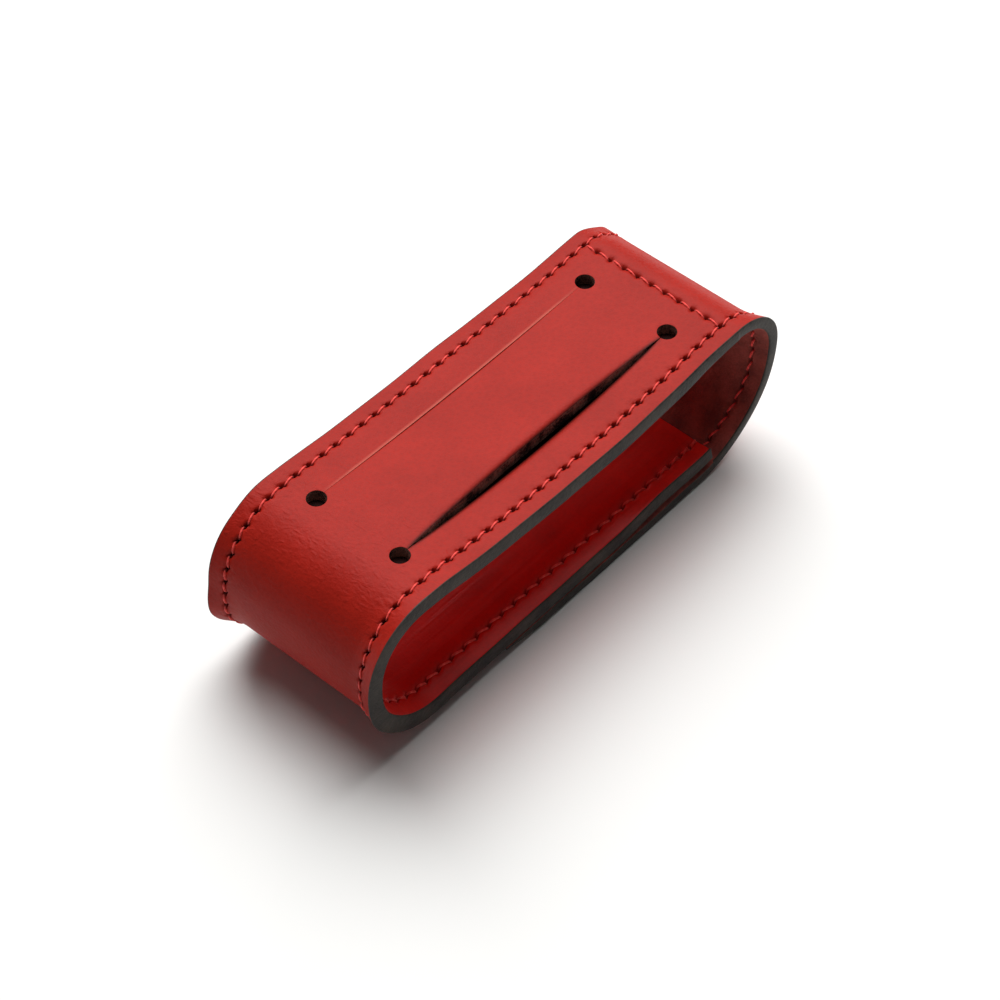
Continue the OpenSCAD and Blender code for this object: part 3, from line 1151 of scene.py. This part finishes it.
@dataclass
class RimRow(Row):
    """A row that runs all the way round one rim."""

    y: float = 0.0
    back_tack: bool = False
    lock_from: int = 13
    lock_count: int = 4
    lock_rise: float = 0.2
    lock_slant: float = -1.2

    def face(self, k: Array) -> tuple[Array, Array]:
        """The face of leather that each needle hole opens on.

        Args:
            k: numbers of the holes.

        Returns:
            Distances along the strip and depths of the face.
        """
        loop, s = self.loop, self.loop.hole(k)
        if self.side is Side.OUTSIDE:
            return s, 0 * s
        covered = s < loop.covered_to
        bent = loop.run_end + (s - loop.tail_end) * loop.end_bend.radius / loop.toe_low_r
        laid = np.where(s < loop.tail_end, s + loop.once_round, bent)
        bare = (s >= loop.covered_to) & (s < loop.top_start)
        lined = loop.outer_t + loop.lining_at(s + np.where(covered, loop.once_round, 0))
        return np.where(covered, laid, s), np.where(bare, loop.outer_t, lined)

    def lay(self) -> None:
        """Lays the flat thread on the wound leather, stepping over the ends of the strips."""
        loop, flat = self.loop, vertex_array(self.piece)
        k = np.clip(np.floor(flat[:, 0] / loop.pitch + 1e-6), 0, loop.stitches - 1)
        u = flat[:, 0] / loop.pitch - k
        placed, depths = [], []
        for hole, shift in ((k, 0), ((k + 1) % loop.stitches, -1)):
            s, depth = self.face(hole)
            points = np.stack([s + (u + shift) * loop.pitch, self.y + flat[:, 1],
                               depth + self.side.value * flat[:, 2]], 1)
            placed.append(loop.wound(points, Layer.OUTER))
            depths.append(depth)
        share = ease(u, 0.0, 0.6)
        if self.side is Side.INSIDE:
            share = np.where(depths[1] > depths[0], ease(u, 0.12, 0.5), ease(u, 0.86, 1.0))
        put_vertices(self.piece, placed[0] * (1 - share[:, None]) + placed[1] * share[:, None])

    def lock(self) -> None:
        """Sews back over the last stitches, as a row is locked at the end of the lining."""
        whole, kept = self.piece, (self.name, self.crest, self.slant)
        self.name += "_lock"
        self.crest += self.lock_rise
        self.slant *= self.lock_slant
        self.stitch(self.loop.pitch)
        self.repeat(self.lock_count, self.loop.pitch)
        flat = vertex_array(self.piece)
        flat[:, 0] += self.lock_from * self.loop.pitch
        put_vertices(self.piece, flat)
        self.lay()
        self.piece = join([whole, self.piece])
        self.name, self.crest, self.slant = kept

    def build(self) -> None:
        """Makes the row from the single stitch to the laid thread."""
        self.stitch(self.loop.pitch)
        self.repeat(self.loop.stitches, self.loop.pitch)
        self.lay()
        if self.back_tack:
            self.lock()
        self.finish()


@dataclass
class CrossRow(Row):
    """The short row across the top, where the lining begins."""

    def build(self) -> None:
        """Makes the row from the single stitch to the laid thread."""
        loop = self.loop
        self.stitch(loop.cross_pitch)
        self.repeat(loop.cross_stitches, loop.cross_pitch)
        flat = vertex_array(self.piece)
        depth = 0.0
        if self.side is Side.INSIDE:
            depth = loop.outer_t + loop.lining_at(loop.cross_s)
        points = np.stack([loop.cross_s + flat[:, 1], flat[:, 0] - loop.row_y,
                           depth + self.side.value * flat[:, 2]], 1)
        put_vertices(self.piece, loop.wound(points, Layer.OUTER))
        self.finish()


# ---- studio


@dataclass
class Studio:
    """Plain pale floor, one soft lamp in an evenly lit room, and the camera."""

    floor_colour: str = "#E9E9E7"
    eye: tuple = (-306.5, -266.0, 472.9)
    azimuth: float = -49.05
    elevation: float = 48.69
    roll: float = 0.31
    lens: float = 113.4
    room_light: float = 0.085
    lamp_at: tuple = (0.60, 0.60, 1.3)
    lamp_side: float = 1.6
    lamp_watts: float = 50

    def camera(self) -> None:
        """Stands the camera where the sheath is seen from above its heel."""
        a, e, r = (math.radians(v) for v in (self.azimuth, self.elevation, self.roll))
        back = Vector((math.sin(a) * math.cos(e), -math.cos(a) * math.cos(e), math.sin(e)))
        right = Vector((0, 0, 1)).cross(back).normalized()
        up = back.cross(right)
        right, up = (right * math.cos(r) + up * math.sin(r), up * math.cos(r) - right * math.sin(r))
        data = bpy.data.cameras.new("camera")
        data.lens, data.sensor_width = self.lens, 36.0
        data.clip_start, data.clip_end = 0.01, 20.0
        camera = bpy.data.objects.new("camera", data)
        bpy.context.scene.collection.objects.link(camera)
        turn = Matrix((right, up, back)).transposed().to_4x4()
        camera.matrix_world = Matrix.Translation(Vector(self.eye) * MM) @ turn
        bpy.context.scene.camera = camera

    def floor(self) -> None:
        """Lays the plain matt floor."""
        clear_selection()
        bpy.ops.mesh.primitive_plane_add(size=6.0, location=(0, 0, -0.0002))
        floor = bpy.context.active_object
        floor.name = "studio_floor"
        material, tree = new_material("studio_floor")
        shader = add_node(tree, "BsdfPrincipled", {
            "Base Color": linear(self.floor_colour), "Roughness": 0.9, "Specular IOR Level": 0.2})
        add_node(tree, "OutputMaterial", {0: shader})
        floor.data.materials.append(material)

    def lamp(self, name: str, place: tuple, size: float, watts: float) -> None:
        """Hangs one soft square lamp that faces the sheath.

        Args:
            name: the lamp's name.
            place: where it hangs, in metres.
            size: its side.
            watts: its power.
        """
        data = bpy.data.lights.new(name, "AREA")
        data.shape, data.size, data.energy = "SQUARE", size, watts
        lamp = bpy.data.objects.new(name, data)
        bpy.context.scene.collection.objects.link(lamp)
        aim = (Vector((0, 0, 0.02)) - Vector(place)).to_track_quat("-Z", "Y")
        lamp.matrix_world = Matrix.Translation(place) @ aim.to_matrix().to_4x4()

    def daylight(self) -> None:
        """Fills the room with pale, even light."""
        world = bpy.data.worlds.new("studio")
        world.use_nodes = True
        tree = world.node_tree
        tree.nodes.clear()
        walls = add_node(tree, "Background", {"Color": (1, 1, 1, 1), "Strength": self.room_light})
        add_node(tree, "OutputWorld", {0: walls})
        bpy.context.scene.world = world
        bpy.context.scene.view_settings.view_transform = "Standard"

    def build(self) -> None:
        """Sets up the whole studio."""
        self.camera()
        self.floor()
        self.daylight()
        self.lamp("overhead_softbox", self.lamp_at, self.lamp_side, self.lamp_watts)
        log.info("studio ready")


def main() -> None:
    """Builds the studio and the sheath's pieces in order."""
    logging.basicConfig(level=logging.INFO, format="%(name)s %(message)s")
    Studio().build()
    loop = Loop()
    OuterStrip(loop, "red_outer_strip", Layer.OUTER, 0.0, loop.strip_end, 0.0,
               loop.outer_t).build()
    LiningStrip(loop, "red_lining_strip", Layer.LINING, loop.top_start, loop.strip_end,
                loop.outer_t, loop.lining_t, hole_shade=0.45).build()
    for rim, y in (("near", -loop.row_y), ("far", loop.row_y)):
        RimRow(loop, f"{rim}_rim_outside_stitches", Side.OUTSIDE, f"{rim}_row_needle_thread",
               y=y).build()
        RimRow(loop, f"{rim}_rim_inside_stitches", Side.INSIDE, f"{rim}_row_bobbin_thread",
               y=y, hole_shade=0.4, back_tack=True).build()
    CrossRow(loop, "cross_outside_stitches", Side.OUTSIDE, "cross_row_needle_thread").build()
    CrossRow(loop, "cross_inside_stitches", Side.INSIDE, "cross_row_bobbin_thread").build()


if __name__ == "__main__":
    main()
